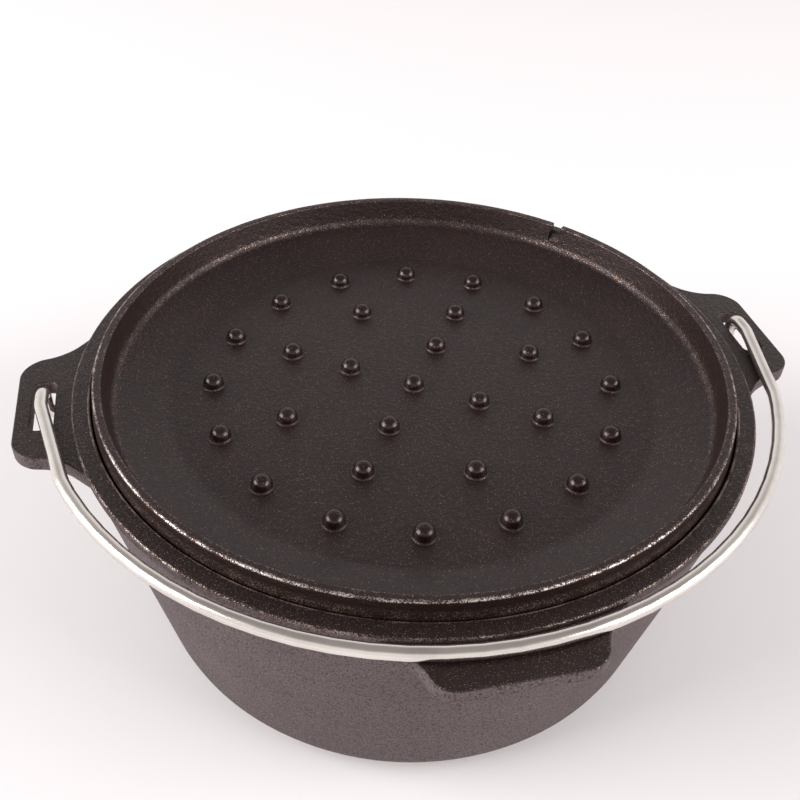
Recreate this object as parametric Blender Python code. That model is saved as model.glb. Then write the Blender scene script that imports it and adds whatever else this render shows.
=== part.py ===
"""Cast iron dutch oven: a round pot with two bail ears and a front tab, its lid laid upside
down in the mouth, and a wire bail folded forward. Metres, +Z up, ears along X, tab at -Y."""

import math

import bmesh
import bpy
from mathutils import Vector

MM = 0.001

# The pot
RIM_TOP = 122 * MM
RIM_R = 135 * MM
RIM_W = 7 * MM
RIM_BEAD = 3.5 * MM
LEDGE_DEPTH = 8 * MM
LEDGE_W = 4.5 * MM
SIDE_TAPER = 23.5 * MM
BASE_ROUND = 20 * MM
FLOOR_T = 5.5 * MM
WALL_T = 5.5 * MM
ROUND_STEPS = 64

# The ears and the tab, all plates of one thickness cast just under the rim
PLATE_T = 6 * MM
PLATE_DROP = 1.5 * MM
EAR_OUT = 20.5 * MM
EAR_HALF = 28 * MM
EAR_ROOT_HALF = 46.95 * MM
TAB_OUT = 15.7 * MM
TAB_HALF = 26.5 * MM
TAB_ROOT_HALF = 38.3 * MM
BAR_W = 5.8 * MM
SLOT_PLAY_ACROSS = 3.5 * MM
SLOT_PLAY_ALONG = 1.21 * MM

# The lid
LID_GAP = 1.7 * MM
SEAT_GAP = 0.3 * MM
SPIGOT_GAP = 0.9 * MM
SKIRT_RISE = 6.9 * MM
SKIRT_T = 3.4 * MM
LID_T = 4.5 * MM
DISH_DEPTH = 12.1 * MM
SKIRT_DRAFT = 2.4 * MM
SLOPE_RUN = 21.5 * MM
SLOPE_RISE = 8.1 * MM
NOTCH_TURN = math.radians(46.1)
NOTCH_W = 4 * MM
NOTCH_DEPTH = 3.6 * MM
STUD_RINGS = ((16, 0.8333), (8, 0.5586), (4, 0.2869), (1, 0.0))  # count, share of the dish's radius
STUD_R = 4.2 * MM
STUD_H = 5 * MM
STUD_FOOT = 0.9 * MM
GRIP_L = 92 * MM
GRIP_H = 27 * MM
GRIP_W = 16 * MM
GRIP_BAR = 9 * MM

# The bail
WIRE_R = 2.5 * MM
REST_GAP = 0.4 * MM
BOW_GAP = 3 * MM
LEG_L = 46 * MM
KINK_IN = 9.65 * MM
HOOK_BEND = 6 * MM
HOOK_BACK_GAP = 1.9 * MM
HOOK_DROP_GAP = 1.5 * MM
TOE_BEND = 4 * MM
TOE_L = 7.4 * MM

# What follows from the sizes above
RIM_IN_R = RIM_R - RIM_W
LEDGE_R = RIM_IN_R - LEDGE_W
LEDGE_Z = RIM_TOP - LEDGE_DEPTH
BASE_R = RIM_R - SIDE_TAPER
PLATE_TOP = RIM_TOP - PLATE_DROP
HINGE_Z = PLATE_TOP - PLATE_T / 2
HOOK_BACK = PLATE_T / 2 + WIRE_R + HOOK_BACK_GAP
HOOK_DROP = PLATE_T / 2 + WIRE_R + HOOK_DROP_GAP
SLOT_W = 2 * WIRE_R + SLOT_PLAY_ACROSS
SLOT_L = 2 * (math.hypot(HOOK_BACK, HOOK_DROP) + WIRE_R + SLOT_PLAY_ALONG)
EAR_REACH = RIM_R + EAR_OUT
TAB_REACH = RIM_R + TAB_OUT
SLOT_X = EAR_REACH - BAR_W - SLOT_W / 2
SKIRT_R = RIM_IN_R - LID_GAP
SLOPE_R = SKIRT_R - SKIRT_T - SKIRT_DRAFT
DISH_R = SLOPE_R - SLOPE_RUN
KINK_X = SLOT_X - KINK_IN
BAIL_REACH = RIM_R + BOW_GAP + WIRE_R


def clear_scene():
    for obj in list(bpy.data.objects):
        bpy.data.objects.remove(obj, do_unlink=True)


def material(name, colour, metallic, roughness):
    made = bpy.data.materials.new(name)
    made.use_nodes = True
    shader = made.node_tree.nodes["Principled BSDF"]
    shader.inputs["Base Color"].default_value = (*colour, 1)
    shader.inputs["Metallic"].default_value = metallic
    shader.inputs["Roughness"].default_value = roughness
    made.diffuse_color = (*colour, 1)
    return made


def add_object(name, data, shade=None):
    obj = bpy.data.objects.new(name, data)
    bpy.context.collection.objects.link(obj)
    if shade:
        data.materials.append(shade)
    return obj


def helper(name, data):
    """A shape that another one is joined to or cut by."""
    obj = add_object(name, data)
    obj.hide_render = True
    obj.display_type = "WIRE"
    return obj


def round_corners(corners, steps=5, closed=False):
    """The path through (point, radius) corners, each corner turned into an arc."""
    path = []
    count = len(corners)
    for i, (point, radius) in enumerate(corners):
        here = Vector(point)
        if radius <= 0 or (not closed and i in (0, count - 1)):
            path.append(here)
            continue
        to_last = (Vector(corners[i - 1][0]) - here).normalized()
        to_next = (Vector(corners[(i + 1) % count][0]) - here).normalized()
        half = to_last.angle(to_next) / 2
        centre = here + (to_last + to_next).normalized() * (radius / math.sin(half))
        first = here + to_last * (radius / math.tan(half))
        last = here + to_next * (radius / math.tan(half))
        parts = steps if radius > 2 * MM else 2
        spoke = (here - centre).normalized()
        side = (last - first).normalized()
        turn = math.pi - 2 * half
        for k in range(parts + 1):
            lean = turn * (k / parts - 0.5)
            path.append(centre + radius * (spoke * math.cos(lean) + side * math.sin(lean)))
    return path


def lathe(name, corners, shade, steps=5):
    """A body turned about Z. The profile runs down its outer side and ends on the axis."""
    path = round_corners([((r, 0, z), radius) for r, z, radius in corners], steps)
    mesh = bpy.data.meshes.new(name)
    mesh.from_pydata(path, [(i, i + 1) for i in range(len(path) - 1)], [])
    obj = add_object(name, mesh, shade)
    turn = obj.modifiers.new("turn", "SCREW")
    turn.axis = "Z"
    turn.angle = math.tau
    turn.steps = ROUND_STEPS
    turn.render_steps = ROUND_STEPS
    turn.use_merge_vertices = True
    turn.merge_threshold = 0.00005
    turn.use_smooth_shade = True
    return obj


def plate_mesh(name, outline, low, high, edge):
    """A flat plate from an outline in the XY plane, with its sharp edges eased."""
    bm = bmesh.new()
    face = bm.faces.new([bm.verts.new((x, y, low)) for x, y in outline])
    bmesh.ops.recalc_face_normals(bm, faces=[face])
    raised = bmesh.ops.extrude_face_region(bm, geom=[face])
    up = [v for v in raised["geom"] if isinstance(v, bmesh.types.BMVert)]
    bmesh.ops.translate(bm, vec=(0, 0, high - low), verts=up)
    bmesh.ops.recalc_face_normals(bm, faces=bm.faces)
    if edge:
        level = [e for e in bm.edges if abs(e.verts[0].co.z - e.verts[1].co.z) < 1e-6]
        bmesh.ops.bevel(bm, geom=level, offset=edge, segments=2, profile=0.5, affect="EDGES")
    mesh = bpy.data.meshes.new(name)
    bm.to_mesh(mesh)
    bm.free()
    return mesh


def ear_outline(reach, half, corner, flare, root_half):
    """A plate that stands out along +X, with rounded corners and roots that run into the rim."""
    root = RIM_R - 4 * MM
    root_turn = math.asin(root_half / root)
    side = [
        ((root * math.cos(root_turn), -root_half, 0), 0),
        ((RIM_R + 4 * MM, -half - flare, 0), 20 * MM),
        ((reach, -half, 0), corner),
    ]
    other = [((p[0], -p[1], 0), r) for p, r in reversed(side)]
    outline = [(p.x, p.y) for p in round_corners(side + other, closed=True)]
    turns = [root_turn * (1 - k / 5) for k in range(1, 10)]
    return outline + [(root * math.cos(a), root * math.sin(a)) for a in turns]


def boolean(obj, other, operation):
    step = obj.modifiers.new(other.name, "BOOLEAN")
    step.object = other
    step.operation = operation
    step.solver = "EXACT"


def build_pot(shade):
    side_foot = BASE_R
    bead_foot = RIM_TOP - RIM_BEAD - 2 * MM
    lip_r = RIM_R - 1.2 * MM
    lean = (lip_r - side_foot) / bead_foot
    half_z = RIM_TOP / 2
    pot = lathe(
        "pot",
        [
            (0, FLOOR_T, 0),
            (side_foot + lean * FLOOR_T - WALL_T, FLOOR_T, BASE_ROUND - WALL_T),
            (side_foot + lean * half_z - WALL_T, half_z, 60 * MM),
            (LEDGE_R, LEDGE_Z, 0.8 * MM),
            (RIM_IN_R, LEDGE_Z, 0.6 * MM),
            (RIM_IN_R, RIM_TOP, 1 * MM),
            (RIM_R, RIM_TOP, 1.4 * MM),
            (RIM_R, RIM_TOP - RIM_BEAD, 0.8 * MM),
            (lip_r, bead_foot, 1 * MM),
            (side_foot, 0, BASE_ROUND),
            (0, 0, 0),
        ],
        shade,
        steps=4,
    )

    low = PLATE_TOP - PLATE_T
    slot = plate_mesh("slot_cut", slot_outline(), low - 5 * MM, PLATE_TOP + 5 * MM, 0)
    outline = ear_outline(EAR_REACH, EAR_HALF, 11 * MM, 2.8 * MM, EAR_ROOT_HALF)
    for name, turn in (("ear_right", 0), ("ear_left", math.pi)):
        ear = helper(name, plate_mesh(name, outline, low, PLATE_TOP, 0.8 * MM))
        cutter = helper(name + "_slot", slot)
        ear.rotation_euler.z = turn
        cutter.rotation_euler.z = turn
        boolean(ear, cutter, "DIFFERENCE")
        boolean(pot, ear, "UNION")

    outline = ear_outline(TAB_REACH, TAB_HALF, 9 * MM, 4 * MM, TAB_ROOT_HALF)
    tab = helper("tab", plate_mesh("tab", outline, low, PLATE_TOP, 0.8 * MM))
    tab.rotation_euler.z = -math.pi / 2
    boolean(pot, tab, "UNION")
    return pot


def slot_outline():
    corners = [
        ((SLOT_X + sx * SLOT_W / 2, sy * SLOT_L / 2, 0), 3 * MM)
        for sx, sy in ((-1, -1), (1, -1), (1, 1), (-1, 1))
    ]
    return [(p.x, p.y) for p in round_corners(corners, 3, closed=True)]


def build_lid(shade):
    floor = RIM_TOP - DISH_DEPTH
    skirt_top = RIM_TOP + SKIRT_RISE
    seat = LEDGE_Z + SEAT_GAP
    spigot = LEDGE_R - SPIGOT_GAP
    lid = lathe(
        "lid",
        [
            (0, floor, 0),
            (DISH_R, floor, 12 * MM),
            (SLOPE_R, floor + SLOPE_RISE, 4 * MM),
            (SKIRT_R - SKIRT_T, skirt_top, 1.2 * MM),
            (SKIRT_R, skirt_top, 1.2 * MM),
            (SKIRT_R, seat, 1 * MM),
            (spigot, seat, 0.3 * MM),
            (spigot - 0.7 * MM, seat - 2.1 * MM, 1 * MM),
            (DISH_R + 2 * MM, floor - LID_T, 8 * MM),
            (0, floor - LID_T, 0),
        ],
        shade,
        steps=4,
    )

    # Each ring starts on the line of the outer stud beside the notch.
    first = NOTCH_TURN + math.tau / 2 / STUD_RINGS[0][0]
    bm = bmesh.new()
    for count, share in STUD_RINGS:
        for k in range(count):
            add_stud(bm, share * DISH_R, first + math.tau * k / count, floor)
    studs = bpy.data.meshes.new("studs")
    bm.to_mesh(studs)
    bm.free()
    boolean(lid, helper("studs", studs), "UNION")

    boolean(lid, helper("grip", grip_mesh(floor - LID_T)), "UNION")

    notch = helper("notch", notch_mesh(skirt_top, floor))
    notch.rotation_euler.z = NOTCH_TURN
    boolean(lid, notch, "DIFFERENCE")
    return lid


def add_stud(bm, ring, turn, floor):
    """A round-topped peg with a spread foot, sunk a little into the lid."""
    x, y = ring * math.cos(turn), ring * math.sin(turn)
    sunk = 1.5 * MM
    rings = (
        (STUD_R + STUD_FOOT, -sunk),
        (STUD_R + STUD_FOOT, 0.05 * MM),
        (STUD_R, STUD_FOOT),
        (STUD_R * 0.92, STUD_H * 0.55),
        (STUD_R * 0.64, STUD_H * 0.87),
    )
    sides = 10
    loops = []
    for radius, height in rings:
        loop = bmesh.ops.create_circle(bm, segments=sides, radius=radius)["verts"]
        bmesh.ops.translate(bm, vec=(x, y, floor + height), verts=loop)
        loops.append(loop)
    for below, above in zip(loops, loops[1:]):
        for k in range(sides):
            j = (k + 1) % sides
            bm.faces.new((below[k], below[j], above[j], above[k]))
    bm.faces.new(list(reversed(loops[0])))
    tip = bm.verts.new((x, y, floor + STUD_H))
    for k in range(sides):
        bm.faces.new((loops[-1][k], loops[-1][(k + 1) % sides], tip))


def grip_mesh(underside):
    """The cast loop on the lid's other face, which hangs into the pot while the lid is inverted."""
    top = underside + 2 * MM
    low = underside - GRIP_H
    half = GRIP_L / 2
    leg = 11 * MM
    corners = [
        ((-half - 4 * MM, 0, top), 0),
        ((-half, 0, low), 12 * MM),
        ((half, 0, low), 12 * MM),
        ((half + 4 * MM, 0, top), 0),
        ((half - leg + 4 * MM, 0, top), 0),
        ((half - leg, 0, low + GRIP_BAR), 7 * MM),
        ((-half + leg, 0, low + GRIP_BAR), 7 * MM),
        ((-half + leg - 4 * MM, 0, top), 0),
    ]
    path = round_corners(corners, 4, closed=True)
    bm = bmesh.new()
    face = bm.faces.new([bm.verts.new((p.x, -GRIP_W / 2, p.z)) for p in path])
    pulled = bmesh.ops.extrude_face_region(bm, geom=[face])
    far = [v for v in pulled["geom"] if isinstance(v, bmesh.types.BMVert)]
    bmesh.ops.translate(bm, vec=(0, GRIP_W, 0), verts=far)
    bmesh.ops.recalc_face_normals(bm, faces=bm.faces)
    rims = [e for e in bm.edges if abs(e.verts[0].co.y - e.verts[1].co.y) < 1e-6]
    bmesh.ops.bevel(bm, geom=rims, offset=2.5 * MM, segments=2, profile=0.5, affect="EDGES")
    mesh = bpy.data.meshes.new("grip")
    bm.to_mesh(mesh)
    bm.free()
    return mesh


def notch_mesh(skirt_top, floor):
    """A groove through the skirt's edge and down its inner side."""
    inner = SKIRT_R - SKIRT_T
    foot = floor + SLOPE_RISE + 3 * MM
    outline = (
        (SKIRT_R + 3 * MM, skirt_top + 5 * MM),
        (inner - 6 * MM, skirt_top + 5 * MM),
        (SLOPE_R - 5 * MM, foot),
        (SLOPE_R + 1.2 * MM, foot),
        (inner + 1.4 * MM, skirt_top - NOTCH_DEPTH - 1 * MM),
        (SKIRT_R + 3 * MM, skirt_top - NOTCH_DEPTH),
    )
    bm = bmesh.new()
    face = bm.faces.new([bm.verts.new((x, -NOTCH_W / 2, z)) for x, z in outline])
    pulled = bmesh.ops.extrude_face_region(bm, geom=[face])
    far = [v for v in pulled["geom"] if isinstance(v, bmesh.types.BMVert)]
    bmesh.ops.translate(bm, vec=(0, NOTCH_W, 0), verts=far)
    bmesh.ops.recalc_face_normals(bm, faces=bm.faces)
    mesh = bpy.data.meshes.new("notch")
    bm.to_mesh(mesh)
    bm.free()
    return mesh


def build_bail(shade):
    """The folded wire. Its origin is on the hinge line, between the two ears."""
    leg_z = PLATE_TOP + WIRE_R + REST_GAP - HINGE_Z
    sagitta = BAIL_REACH - LEG_L
    arc_r = (KINK_X**2 + sagitta**2) / (2 * sagitta)
    arc_y = arc_r - BAIL_REACH
    sweep = math.asin(KINK_X / arc_r)
    end = [
        ((SLOT_X - TOE_L, HOOK_BACK, -HOOK_DROP), 0),
        ((SLOT_X, HOOK_BACK, -HOOK_DROP), TOE_BEND),
        ((SLOT_X, HOOK_BACK, leg_z), HOOK_BEND),
        ((SLOT_X, -4 * MM, leg_z), 12 * MM),
        ((KINK_X, -LEG_L, leg_z), 20 * MM),
    ]
    first = sweep * 0.955
    ahead = ((arc_r * math.sin(first), arc_y - arc_r * math.cos(first), leg_z), 0)
    side = round_corners(end + [ahead], 6)
    bow = [first * (1 - k / 18) for k in range(1, 36)]
    path = side + [Vector((arc_r * math.sin(a), arc_y - arc_r * math.cos(a), leg_z)) for a in bow]
    path += [Vector((-p.x, p.y, p.z)) for p in reversed(side)]

    curve = bpy.data.curves.new("bail", "CURVE")
    curve.dimensions = "3D"
    curve.bevel_depth = WIRE_R
    curve.bevel_resolution = 3
    curve.use_fill_caps = True
    line = curve.splines.new("POLY")
    line.points.add(len(path) - 1)
    for point, place in zip(line.points, path):
        point.co = (*place, 1)
    line.use_smooth = True
    bail = add_object("bail", curve, shade)
    bail.location = (0, 0, HINGE_Z)
    return bail


def main():
    clear_scene()
    iron = material("seasoned_iron", (0.032, 0.029, 0.028), 0.35, 0.55)
    lid_iron = material("lid_iron", (0.032, 0.029, 0.028), 0.35, 0.5)
    steel = material("bail_steel", (0.72, 0.69, 0.66), 1.0, 0.25)
    build_pot(iron)
    build_lid(lid_iron)
    build_bail(steel)


main()
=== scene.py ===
"""A cast iron dutch oven with its lid laid upside down in the mouth and its wire bail folded
forward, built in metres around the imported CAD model: +Z up, ears along X, tab at -Y."""

import math

import bmesh
import bpy
from mathutils import Matrix, Vector


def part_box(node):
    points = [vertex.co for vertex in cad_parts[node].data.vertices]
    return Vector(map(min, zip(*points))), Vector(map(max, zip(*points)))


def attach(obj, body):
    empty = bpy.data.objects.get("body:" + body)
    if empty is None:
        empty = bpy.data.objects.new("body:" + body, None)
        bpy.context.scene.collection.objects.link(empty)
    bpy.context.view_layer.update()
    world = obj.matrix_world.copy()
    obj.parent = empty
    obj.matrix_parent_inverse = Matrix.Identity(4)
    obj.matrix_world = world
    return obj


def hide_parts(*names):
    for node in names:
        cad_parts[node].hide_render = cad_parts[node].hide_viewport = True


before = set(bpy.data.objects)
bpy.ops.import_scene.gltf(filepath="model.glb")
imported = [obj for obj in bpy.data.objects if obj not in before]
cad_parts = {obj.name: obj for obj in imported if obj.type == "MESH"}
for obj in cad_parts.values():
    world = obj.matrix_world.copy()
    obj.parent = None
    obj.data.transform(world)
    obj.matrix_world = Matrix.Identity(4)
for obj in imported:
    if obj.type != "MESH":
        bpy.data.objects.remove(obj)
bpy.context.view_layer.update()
mm = 0.001


# The pot. One iron casting: a round body that narrows to a flat base, a flat lip with a ledge
# inside it for the lid, and three plates that stand out just under the lip, two slotted ears
# for the bail and a plain tab to tip the pot by. Seasoned black, and rougher on its sides,
# where a lighter grey is painted on by facing: a painted sheen.
pot_low, pot_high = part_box("pot")
lip_top = pot_high.z
lip_r = pot_high.y
lip_inner_r = lip_r - 7 * mm
lip_edge_z = lip_top - 3.5 * mm
ledge_r = lip_r - 11.5 * mm
ledge_z = lip_top - 8 * mm
base_r = lip_r - 23.5 * mm
base_round = 20 * mm
iron_t = 5.5 * mm
plate_top = lip_top - 1.5 * mm
plate_t = 6 * mm
ear_reach = pot_high.x
tab_reach = -pot_low.y
slot_x = ear_reach - 10.05 * mm
slot_half_across = 4.25 * mm
slot_half_along = 13.9 * mm
turn_steps = 216


def round_corner(bm, point, radius):
    """Turns the corner at this vertex of a line into an arc of that radius."""
    arms = [(e.other_vert(point).co - point.co).normalized() for e in point.link_edges]
    half = arms[0].angle(arms[1]) / 2
    bend = math.pi - 2 * half
    bmesh.ops.bevel(
        bm,
        geom=[point],
        offset=radius / math.tan(half),
        offset_type="OFFSET",
        segments=max(2, math.ceil(bend / math.radians(11))),
        profile=0.5,
        affect="VERTICES",
        material=-1,
    )


def turned(corners, steps):
    """A closed body turned about Z from its half section: (radius, height, corner radius)."""
    bm = bmesh.new()
    points = [bm.verts.new((r, 0, z)) for r, z, _ in corners]
    for here, there in zip(points, points[1:]):
        bm.edges.new((here, there))
    for point, (_, _, radius) in zip(points, corners):
        if radius:
            round_corner(bm, point, radius)
    bmesh.ops.spin(
        bm,
        geom=bm.verts[:] + bm.edges[:],
        cent=(0, 0, 0),
        axis=(0, 0, 1),
        angle=math.tau,
        steps=steps,
        use_merge=True,
    )
    bmesh.ops.remove_doubles(bm, verts=bm.verts, dist=1e-6)
    bmesh.ops.recalc_face_normals(bm, faces=bm.faces)
    return bm


def slab(corners, low, high):
    """A flat plate with the outline (x, y, corner radius), from one height to another."""
    bm = bmesh.new()
    face = bm.faces.new([bm.verts.new((x, y, low)) for x, y, _ in corners])
    lifted = bmesh.ops.extrude_face_region(bm, geom=[face])["geom"]
    top = [v for v in lifted if isinstance(v, bmesh.types.BMVert)]
    bmesh.ops.translate(bm, vec=(0, 0, high - low), verts=top)
    bmesh.ops.recalc_face_normals(bm, faces=bm.faces)
    count = len(corners)
    for k, (x, y, radius) in enumerate(corners):
        if not radius:
            continue
        here = Vector((x, y))
        to_last = Vector(corners[k - 1][:2]) - here
        to_next = Vector(corners[(k + 1) % count][:2]) - here
        half = to_last.angle(to_next) / 2
        upright = [
            e for e in bm.edges if all((v.co.xy - here).length < 1e-7 for v in e.verts)
        ]
        bmesh.ops.bevel(
            bm,
            geom=upright,
            offset=radius / math.tan(half),
            offset_type="OFFSET",
            segments=12,
            profile=0.5,
            affect="EDGES",
            material=-1,
        )
    return bm


def ease(bm, edges, width, segments=4):
    """Rounds these edges."""
    bmesh.ops.bevel(
        bm,
        geom=edges,
        offset=width,
        offset_type="OFFSET",
        segments=segments,
        profile=0.5,
        affect="EDGES",
        material=-1,
        clamp_overlap=True,
    )


def as_object(name, bm):
    mesh = bpy.data.meshes.new(name)
    bm.to_mesh(mesh)
    bm.free()
    obj = bpy.data.objects.new(name, mesh)
    bpy.context.scene.collection.objects.link(obj)
    return obj


def combine(base, other, operation):
    """Joins another object to base, or cuts it away, and removes the other one."""
    step = base.modifiers.new(other.name, "BOOLEAN")
    step.object = other
    step.operation = operation
    step.solver = "EXACT"
    bpy.context.view_layer.update()
    evaluated = base.evaluated_get(bpy.context.evaluated_depsgraph_get())
    done = bpy.data.meshes.new_from_object(evaluated)
    base.modifiers.clear()
    old, base.data = base.data, done
    done.name = old.name
    bpy.data.meshes.remove(old)
    bpy.data.objects.remove(other)
    return base


def finish_smooth(obj):
    """Smooth shading, with the broad faces setting the direction at each rounded edge."""
    obj.data.shade_smooth()
    obj.data.set_sharp_from_angle(angle=math.radians(50))
    weigh = obj.modifiers.new("broad_faces_lead", "WEIGHTED_NORMAL")
    weigh.mode = "FACE_AREA"
    weigh.weight = 90
    weigh.keep_sharp = True


body_lip_r = lip_r - 1.2 * mm
body_lip_z = lip_top - 5.5 * mm
lean = (body_lip_r - base_r) / body_lip_z
pot = as_object(
    "pot_casting",
    turned(
        [
            (0, iron_t, 0),
            (base_r + lean * iron_t - iron_t, iron_t, base_round - iron_t),
            (base_r + lean * lip_top / 2 - iron_t, lip_top / 2, 60 * mm),
            (ledge_r, ledge_z, 0.8 * mm),
            (lip_inner_r, ledge_z, 0.6 * mm),
            (lip_inner_r, lip_top, 0.9 * mm),
            (lip_r, lip_top, 0.9 * mm),
            (lip_r, lip_edge_z, 0.8 * mm),
            (body_lip_r, body_lip_z, 1 * mm),
            (base_r, 0, base_round),
            (0, 0, 0),
        ],
        turn_steps,
    ),
)


def plate_piece(name, reach, half, flare, corner, slotted):
    """An ear or the tab, pointing along +X, with its edges eased and its root cut round."""
    foot = 120 * mm
    foot_spread = 20 * mm
    neck = lip_r + 3.2 * mm
    neck_round = 20 * mm
    corners = [
        (foot, -half - flare - foot_spread, 0),
        (neck, -half - flare, neck_round),
        (reach, -half, corner),
        (reach, half, corner),
        (neck, half + flare, neck_round),
        (foot, half + flare + foot_spread, 0),
    ]
    plate = as_object(name, slab(corners, plate_top - plate_t, plate_top))
    if slotted:
        hole = [
            (slot_x + sx * slot_half_across, sy * slot_half_along, 3 * mm)
            for sx, sy in ((-1, -1), (1, -1), (1, 1), (-1, 1))
        ]
        cutter = as_object("slot", slab(hole, plate_top - 9 * mm, lip_top))
        combine(plate, cutter, "DIFFERENCE")
    bm = bmesh.new()
    bm.from_mesh(plate.data)
    sharp = [e for e in bm.edges if e.calc_face_angle(0) > math.radians(60)]
    ease(bm, sharp, 0.9 * mm)
    bm.to_mesh(plate.data)
    bm.free()
    mouth_r = lip_r - 4 * mm
    mouth_low, mouth_high = 100 * mm, 140 * mm
    mouth = turned(
        [(0, mouth_low, 0), (mouth_r, mouth_low, 0), (mouth_r, mouth_high, 0), (0, mouth_high, 0)],
        96,
    )
    return combine(plate, as_object("mouth", mouth), "DIFFERENCE")


for name, turn, reach, half, flare, corner, slotted in (
    ("ear_right", 0, ear_reach, 28 * mm, 2.8 * mm, 11 * mm, True),
    ("ear_left", math.pi, ear_reach, 28 * mm, 2.8 * mm, 11 * mm, True),
    ("tab", -math.pi / 2, tab_reach, 26.5 * mm, 4 * mm, 9 * mm, False),
):
    plate = plate_piece(name, reach, half, flare, corner, slotted)
    plate.data.transform(Matrix.Rotation(turn, 4, "Z"))
    combine(pot, plate, "UNION")
finish_smooth(pot)


class Shade:
    """A socket in a material, which can be added and multiplied as if it were a number."""

    def __init__(self, socket):
        self.socket = socket

    def make(self, kind, settings=None, sockets=None, out=0):
        """A new node beside this one: its settings first, then its sockets' values or links."""
        tree = self.socket.id_data
        node = tree.nodes.new("ShaderNode" + kind)
        for name, value in (settings or {}).items():
            if name == "stops":
                ramp = node.color_ramp
                while len(ramp.elements) < len(value):
                    ramp.elements.new(1)
                for stop, (place, colour) in zip(ramp.elements, value):
                    stop.position = place
                    stop.color = colour
            else:
                setattr(node, name, value)
        for key, value in (sockets or {}).items():
            if isinstance(value, Shade):
                tree.links.new(value.socket, node.inputs[key])
            else:
                node.inputs[key].default_value = value
        return Shade(node.outputs[out])

    def maths(self, operation, first, second):
        return self.make("Math", {"operation": operation}, {0: first, 1: second})

    def __add__(self, other):
        return self.maths("ADD", self, other)

    def __sub__(self, other):
        return self.maths("SUBTRACT", self, other)

    def __mul__(self, other):
        return self.maths("MULTIPLY", self, other)

    def __pow__(self, other):
        return self.maths("POWER", self, other)

    def __rsub__(self, other):
        return self.maths("SUBTRACT", other, self)

    __radd__ = __add__
    __rmul__ = __mul__

    def step(self, low, high):
        """0 below low, 1 above high, and a smooth change between them."""
        settings = {"interpolation_type": "SMOOTHSTEP"}
        return self.make("MapRange", settings, {0: self, 1: low, 2: high, 3: 0.0, 4: 1.0})

    def blend(self, none, full):
        """The colour none where this value is 0, and full where it is 1."""
        settings = {"data_type": "RGBA"}
        return self.make("Mix", settings, {0: self, 6: none, 7: full}, out=2)

    def noise(self, scale, detail=2.0, roughness=0.5):
        sockets = {"Vector": self, "Scale": scale, "Detail": detail, "Roughness": roughness}
        return self.make("TexNoise", None, sockets)


def new_material(name, metallic, ior):
    """A material with its surface shader, and its Object coordinates and normal as Shades."""
    made = bpy.data.materials.new(name)
    made.use_nodes = True
    shader = made.node_tree.nodes["Principled BSDF"]
    shader.inputs["Metallic"].default_value = metallic
    shader.inputs["IOR"].default_value = ior
    place = made.node_tree.nodes.new("ShaderNodeTexCoord")
    return made, shader, Shade(place.outputs["Object"]), Shade(place.outputs["Normal"])


def feed(shader, socket, value):
    shader.id_data.links.new(value.socket, shader.inputs[socket])


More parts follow.
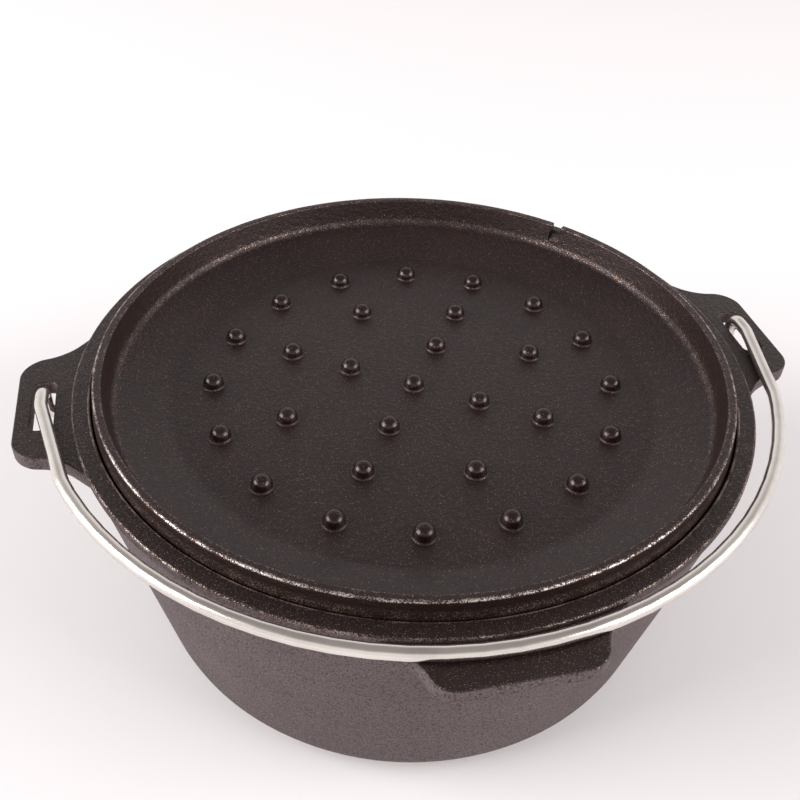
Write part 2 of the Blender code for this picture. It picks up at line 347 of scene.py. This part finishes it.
def iron(name, top_colour, side_painted_light_colour, side_roughness, speck_share, wear_glint_rings, studs_at=None):
    """Seasoned cast iron: near black and half glossy on top, rougher on upright faces and sandy
    all over. Upright faces take a colour of their own, picked by facing: a painted sheen, which
    on the pot is a grey much lighter than its black top. Brown metal specks run together along
    the rings (radius, height, reach, strength); the rings are partly edge wear and partly painted
    highlight, their strongest parts painted a brighter metal for the bright lines of light on
    rounded edges. A larger speck_share strews more of them between the rings. Studs that
    stand above studs_at (height, within this radius) are glossier."""
    made, shader, place, normal = new_material(name, 0.0, 1.49)
    shader.inputs["Specular Tint"].default_value = (1, 0.85, 0.85, 1)
    up = normal.make("SeparateXYZ", None, {0: normal}, out=2).step(0.35, 0.75)
    level = place.make("SeparateXYZ", None, {0: place}, out=2)
    flat = place.make("VectorMath", {"operation": "MULTIPLY"}, {0: place, 1: (1, 1, 0)})
    from_axis = flat.make("VectorMath", {"operation": "LENGTH"}, {0: flat}, out=1)
    sand = place.noise(1250, 2.0, 0.6)
    lumps = place.noise(480, 2.0, 0.5)
    specks = place.noise(2100, 1.0, 0.5)
    patches = place.noise(28, 3.0, 0.6)
    broken = place.noise(110, 2.0, 0.6).step(0.38, 0.62) * 0.5 + 0.5

    wear_and_glint = 0.0
    # Each ring adds to the specks: partly edge wear, partly a painted highlight line along a
    # rounded edge.
    for ring_r, ring_z, reach, strength in wear_glint_rings:
        off = ((from_axis - ring_r) ** 2 + (level - ring_z) ** 2) ** 0.5
        wear_and_glint = (1 - off.step(reach * 0.3, reach)) * strength + wear_and_glint
    wear_and_glint = wear_and_glint * broken
    speck_and_glint_mask = (specks + wear_and_glint * 0.34 + lumps * 0.12 + up * 0.02 + speck_share).step(0.72, 0.8)

    def mottled(colour, darkest, lightest):
        ends = [[c * share for c in colour] + [1] for share in (darkest, lightest)]
        return patches.step(0.3, 0.7).blend(*ends)

    pit = [0.008, 0.0045, 0.004, 1]
    brown_metal = [0.27, 0.185, 0.15, 1]
    glint_and_raw_iron = [0.52, 0.46, 0.43, 1]
    # Painted sheen by facing: upright faces take the side colour and tops the top colour, lit and
    # shaded copies of one iron.
    skin = up.blend(mottled(side_painted_light_colour, 0.86, 1.12), mottled(top_colour, 0.75, 1.3))
    skin = sand.step(0.34, 0.52).blend(pit, skin)
    # Painted highlight: where the rings are strongest, the specks are painted a brighter metal,
    # partly bare iron.
    speck_tone_with_glint = wear_and_glint.step(0.25, 0.8).blend(brown_metal, glint_and_raw_iron)
    feed(shader, "Base Color", speck_and_glint_mask.blend(skin, speck_tone_with_glint))
    feed(shader, "Metallic", speck_and_glint_mask * 0.9)
    top_roughness = 0.46
    metal_roughness = 0.34
    rough = up * (top_roughness - side_roughness) + side_roughness + (patches - 0.5) * 0.1
    height = sand + lumps * 1.5
    if studs_at:
        stud_z, within = studs_at
        inside = 1 - from_axis.step(within - 1 * mm, within)
        stud = (level - stud_z).step(0, 0.8 * mm) * inside
        rough = rough - stud * 0.24
        height = height * (1 - stud * 0.75)
    feed(shader, "Roughness", (rough - metal_roughness) * (1 - speck_and_glint_mask) + metal_roughness)
    sockets = {"Strength": 1.0, "Distance": 0.00017, "Height": height}
    feed(shader, "Normal", height.make("Bump", None, sockets))
    return made


# Rings of metal specks on both edges of the lip: partly edge wear, partly a painted highlight line
# all round.
pot_wear_glint_rings = [
    (lip_inner_r, lip_top, 1.3 * mm, 1.0),
    (lip_r - 0.3 * mm, lip_top - 0.3 * mm, 1.0 * mm, 0.55),
]
pot_black = (0.005, 0.0015, 0.001)
# Painted sheen: the upright faces get this grey, much lighter than the black top, by facing alone.
pot_painted_sheen_grey = (0.09, 0.067, 0.07)
pot.data.materials.append(iron("pot_iron", pot_black, pot_painted_sheen_grey, 0.72, 0.005, pot_wear_glint_rings))
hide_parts("pot")
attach(pot, "pot")


# The lid. A second casting, lying upside down in the mouth: a shallow dish with a thin upright
# skirt that spreads a little at its foot, 29 basting studs in rings on its floor, a small notch
# in the skirt, and a cast loop grip that hangs down into the pot.
lid_low, lid_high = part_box("lid")
skirt_r = lip_inner_r - 1.7 * mm
skirt_top = lid_high.z
dish_floor = lip_top - 12.1 * mm
seat_z = ledge_z + 0.3 * mm
lid_under = dish_floor - 4.5 * mm
grip_low = lid_low.z
foot_r = skirt_r + 1.0 * mm
foot_z = lip_top - 0.8 * mm
slope_r = skirt_r - 5.8 * mm
dish_r = slope_r - 21.5 * mm
lid = as_object(
    "lid_casting",
    turned(
        [
            (0, dish_floor, 0),
            (dish_r, dish_floor, 14 * mm),
            (slope_r, dish_floor + 8.1 * mm, 4 * mm),
            (skirt_r - 3.4 * mm, skirt_top, 0.9 * mm),
            (skirt_r, skirt_top, 0.9 * mm),
            (skirt_r, foot_z + 3.6 * mm, 4 * mm),
            (foot_r, foot_z, 2 * mm),
            (foot_r, seat_z, 1 * mm),
            (ledge_r - 0.9 * mm, seat_z, 0.3 * mm),
            (ledge_r - 1.6 * mm, seat_z - 2.1 * mm, 1 * mm),
            (dish_r + 2 * mm, lid_under, 8 * mm),
            (0, lid_under, 0),
        ],
        turn_steps,
    ),
)

stud_r = 4.2 * mm
stud_h = 5 * mm
stud_sunk = -1.5 * mm
stud_foot_r = stud_r + 1.2 * mm
stud = turned(
    [
        (0, stud_sunk, 0),
        (stud_foot_r, stud_sunk, 0),
        (stud_foot_r, -0.04 * mm, 0),
        (stud_r, -0.02 * mm, 0.9 * mm),
        (stud_r - 0.15 * mm, stud_h, 3.7 * mm),
        (0, stud_h, 0),
    ],
    28,
)
stud_mesh = bpy.data.meshes.new("stud")
stud.to_mesh(stud_mesh)
stud.free()
stud_rings = ((16, 0.8333), (8, 0.5586), (4, 0.2869), (1, 0.0))  # count, share of the floor
first_turn = math.radians(46.1) + math.tau / 32
studs = bmesh.new()
for count, share in stud_rings:
    for k in range(count):
        turn = first_turn + math.tau * k / count
        first = len(studs.verts)
        studs.from_mesh(stud_mesh)
        studs.verts.ensure_lookup_table()
        place = Vector((math.cos(turn), math.sin(turn), 0)) * share * dish_r
        place.z = dish_floor
        bmesh.ops.translate(studs, vec=place, verts=studs.verts[first:])
bpy.data.meshes.remove(stud_mesh)
combine(lid, as_object("studs", studs), "UNION")

grip_half = 46 * mm
grip_width = 16 * mm
grip_leg = 11 * mm
grip_splay = 4 * mm
grip_root = lid_under + 2 * mm
grip_bar_top = grip_low + 9 * mm
loop = slab(
    [
        (-grip_half - grip_splay, grip_root, 0),
        (-grip_half, grip_low, 12 * mm),
        (grip_half, grip_low, 12 * mm),
        (grip_half + grip_splay, grip_root, 0),
        (grip_half - grip_leg + grip_splay, grip_root, 0),
        (grip_half - grip_leg, grip_bar_top, 7 * mm),
        (-grip_half + grip_leg, grip_bar_top, 7 * mm),
        (-grip_half + grip_leg - grip_splay, grip_root, 0),
    ],
    -grip_width / 2,
    grip_width / 2,
)
rims = [e for e in loop.edges if abs(e.verts[0].co.z - e.verts[1].co.z) < 1e-6]
ease(loop, rims, 2.5 * mm)
bmesh.ops.rotate(loop, matrix=Matrix.Rotation(math.pi / 2, 3, "X"), verts=loop.verts)
combine(lid, as_object("grip", loop), "UNION")

notch_w = 5.2 * mm
notch_turn = math.radians(43.5)
notch_foot = dish_floor + 11.1 * mm
notch_high = skirt_top + 5 * mm
notch = slab(
    [
        (skirt_r + 3 * mm, notch_high, 0),
        (skirt_r - 9.4 * mm, notch_high, 0),
        (slope_r - 5 * mm, notch_foot, 0),
        (slope_r + 1.2 * mm, notch_foot, 0),
        (skirt_r - 2 * mm, skirt_top - 4.6 * mm, 0),
        (skirt_r + 3 * mm, skirt_top - 3.6 * mm, 0),
    ],
    -notch_w / 2,
    notch_w / 2,
)
bmesh.ops.rotate(notch, matrix=Matrix.Rotation(math.pi / 2, 3, "X"), verts=notch.verts)
bmesh.ops.rotate(notch, matrix=Matrix.Rotation(notch_turn, 3, "Z"), verts=notch.verts)
combine(lid, as_object("notch", notch), "DIFFERENCE")
finish_smooth(lid)
# Rings of metal specks on the lid: on the skirt's two top edges partly wear and partly painted
# highlight; where the dish slope meets the skirt a painted highlight; on the skirt's spreading
# foot a painted warm reflection.
lid_wear_glint_rings = [
    (skirt_r - 0.4 * mm, skirt_top - 0.3 * mm, 1.1 * mm, 0.75),
    (skirt_r - 3.1 * mm, skirt_top - 0.2 * mm, 0.9 * mm, 0.35),
    (slope_r + 0.4 * mm, dish_floor + 9 * mm, 4 * mm, 0.27),
    (foot_r, foot_z + 1.2 * mm, 3 * mm, 0.4),
]
lid_black = (0.009, 0.0038, 0.0038)
# Painted by facing, as on the pot: the lid's upright faces get a slightly browner copy of its
# black.
lid_painted_side_brown = (0.011, 0.004, 0.0025)
studs_at = (dish_floor + 0.4 * mm, dish_r * 0.91)
lid.data.materials.append(
    iron("lid_iron", lid_black, lid_painted_side_brown, 0.44, -0.02, lid_wear_glint_rings, studs_at)
)
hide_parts("lid")
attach(lid, "lid")


# The bail. One length of 5 mm stainless wire bent to a bow, its ends kinked outwards over the
# ears, hooked down through the slots and turned in under the plates so that it can't fall out.
wire_r = 2.5 * mm
bail_z = plate_top + wire_r + 0.4 * mm
hook_back = 7.4 * mm
hook_low = plate_top - plate_t / 2 - 7 * mm
leg = 46 * mm
kink_x = slot_x - 9.65 * mm
bow_reach = lip_r + 5.5 * mm
sagitta = bow_reach - leg
bow_r = (kink_x**2 + sagitta**2) / (2 * sagitta)
bow_y = bow_r - bow_reach
bow_end = math.asin(kink_x / bow_r) * 0.955
route = bmesh.new()
corners = [
    ((slot_x - 7.4 * mm, hook_back, hook_low), 0),
    ((slot_x, hook_back, hook_low), 4 * mm),
    ((slot_x, hook_back, bail_z), 6 * mm),
    ((slot_x, -4 * mm, bail_z), 12 * mm),
    ((kink_x, -leg, bail_z), 20 * mm),
]
turns = 30
for k in range(turns + 1):
    turn = bow_end * (1 - 2 * k / turns)
    place = (bow_r * math.sin(turn), bow_y - bow_r * math.cos(turn), bail_z)
    corners.append((place, 0))
corners += [((-x, y, z), radius) for (x, y, z), radius in reversed(corners[:5])]
line = [route.verts.new(place) for place, _ in corners]
for here, there in zip(line, line[1:]):
    route.edges.new((here, there))
first = line[0]
for point, (_, radius) in zip(line, corners):
    if radius:
        round_corner(route, point, radius)
path = [first.co.copy()]
walked, at = None, first
while True:
    onward = [e for e in at.link_edges if e != walked]
    if not onward:
        break
    walked = onward[0]
    at = walked.other_vert(at)
    path.append(at.co.copy())
route.free()

wire = bmesh.new()
sides = 20
runs = [(b - a).normalized() for a, b in zip(path, path[1:])]
between = [(a + b).normalized() for a, b in zip(runs, runs[1:])]
tangents = [runs[0]] + between + [runs[-1]]
ring = bmesh.ops.create_circle(wire, segments=sides, radius=wire_r)["verts"]
facing = Vector((0, 0, 1)).rotation_difference(tangents[0]).to_matrix()
bmesh.ops.rotate(wire, matrix=facing, verts=ring)
bmesh.ops.translate(wire, vec=path[0], verts=ring)
edges = wire.edges[:]
for k in range(1, len(path)):
    grown = bmesh.ops.extrude_edge_only(wire, edges=edges)["geom"]
    ring = [g for g in grown if isinstance(g, bmesh.types.BMVert)]
    edges = [g for g in grown if isinstance(g, bmesh.types.BMEdge)]
    bmesh.ops.translate(wire, vec=path[k] - path[k - 1], verts=ring)
    swing = tangents[k - 1].rotation_difference(tangents[k]).to_matrix()
    bmesh.ops.rotate(wire, cent=path[k], matrix=swing, verts=ring)
open_ends = [e for e in wire.edges if e.is_boundary]
bmesh.ops.holes_fill(wire, edges=open_ends, sides=0)
ends = [f for f in wire.faces if len(f.verts) > 4]
ease(wire, list({e for f in ends for e in f.edges}), 0.5 * mm, 3)
bmesh.ops.recalc_face_normals(wire, faces=wire.faces)
bail = as_object("bail_wire", wire)
bail.data.shade_smooth()


def steel():
    """Stainless wire, drawn and lightly satined."""
    made, shader, place, _ = new_material("bail_steel", 1.0, 1.5)
    film = place.noise(60, 3.0, 0.6)
    tint = film.step(0.3, 0.7).blend([0.66, 0.61, 0.57, 1], [0.76, 0.71, 0.665, 1])
    feed(shader, "Base Color", tint)
    feed(shader, "Roughness", film * 0.1 + 0.17)
    grain = place.noise(1500, 2.0, 0.6)
    sockets = {"Strength": 1.0, "Distance": 0.000012, "Height": grain}
    feed(shader, "Normal", grain.make("Bump", None, sockets))
    return made


bail.data.materials.append(steel())
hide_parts("bail")
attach(bail, "bail")


# The room: a white table, two soft boxes low at either side, and a pale room round them.
ground = bmesh.new()
bmesh.ops.create_circle(ground, cap_ends=True, segments=64, radius=6)
table = as_object("table_top", ground)
table_made = bpy.data.materials.new("table_white")
table_made.use_nodes = True
table_shader = table_made.node_tree.nodes["Principled BSDF"]
table_shader.inputs["Base Color"].default_value = (0.875, 0.85, 0.86, 1)
table_shader.inputs["Roughness"].default_value = 0.9
table_shader.inputs["Specular IOR Level"].default_value = 0.0
table.data.materials.append(table_made)


def soft_box(name, direction, distance, size, power, colour):
    lamp = bpy.data.lights.new(name, "AREA")
    lamp.shape = "RECTANGLE"
    lamp.size, lamp.size_y = size
    lamp.energy = power
    lamp.color = colour
    obj = bpy.data.objects.new(name, lamp)
    bpy.context.scene.collection.objects.link(obj)
    aim = Vector((0, 0, 0.1))
    obj.location = aim + Vector(direction).normalized() * distance
    obj.rotation_euler = (aim - obj.location).to_track_quat("-Z", "Y").to_euler()


soft_box("box_left", (-0.878, 0.004, 0.44), 2.6, (1.8, 1.5), 66, (1, 0.985, 0.98))
soft_box("box_right", (0.766, -0.43, 0.44), 2.6, (1.8, 1.5), 46, (1, 0.97, 0.965))

world = bpy.data.worlds.new("room")
world.use_nodes = True
bpy.context.scene.world = world
air = world.node_tree.nodes["Background"]
look = Shade(world.node_tree.nodes.new("ShaderNodeTexCoord").outputs["Generated"])
height = look.make("SeparateXYZ", None, {0: look}, out=2)
sky = height.step(0.42, 0.85).blend([1, 0.985, 0.985, 1], [0.36, 0.335, 0.33, 1])
world.node_tree.links.new(sky.socket, air.inputs["Color"])
air.inputs["Strength"].default_value = 1.0

camera = bpy.data.cameras.new("camera")
camera.lens = 42.972
camera.sensor_width = 36
camera.clip_start = 0.01
viewpoint = bpy.data.objects.new("camera", camera)
viewpoint.location = (-0.07788, -0.29713, 0.36178)
viewpoint.rotation_euler = [math.radians(a) for a in (49.724, -1.88, -12.079)]
bpy.context.scene.collection.objects.link(viewpoint)
bpy.context.scene.camera = viewpoint
bpy.context.scene.view_settings.view_transform = "Standard"
